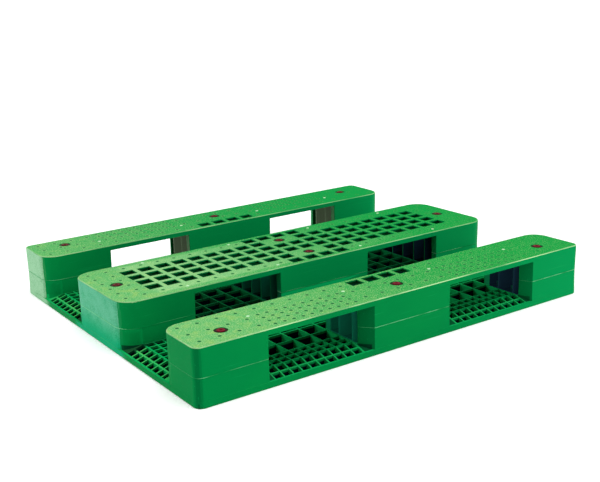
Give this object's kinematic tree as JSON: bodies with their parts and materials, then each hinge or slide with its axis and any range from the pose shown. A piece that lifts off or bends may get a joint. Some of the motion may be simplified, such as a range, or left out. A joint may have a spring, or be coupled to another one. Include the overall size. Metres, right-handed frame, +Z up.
{
  "type": "plastic pallet",
  "caption": "Double-faced welded plastic pallet with a lattice deck, runners with square grid holes and rubber anti-slip plugs, standing runners up.",
  "frame": {"origin": "centre of the footprint, on the floor under the lattice deck", "axes": "+X along the runners, +Y across them, +Z up from the deck to the runners"},
  "size_m": [1.2, 1, 0.14],
  "materials": {
    "green_plastic": "satin moulded polyethylene",
    "red_rubber": "matt"
  },
  "bodies": {
    "root": {"deck_moulding": "green_plastic", "runner_near": "green_plastic", "runner_centre": "green_plastic", "runner_far": "green_plastic", "plug_near_left": "red_rubber", "plug_near_middle": "red_rubber", "plug_near_right": "red_rubber", "plug_far_left": "red_rubber", "plug_far_middle": "red_rubber", "plug_far_right": "red_rubber", "plug_centre_left": "red_rubber", "plug_centre_right": "red_rubber", "plug_centre_front": "red_rubber", "plug_centre_back": "red_rubber"}
  },
  "joints": []
}
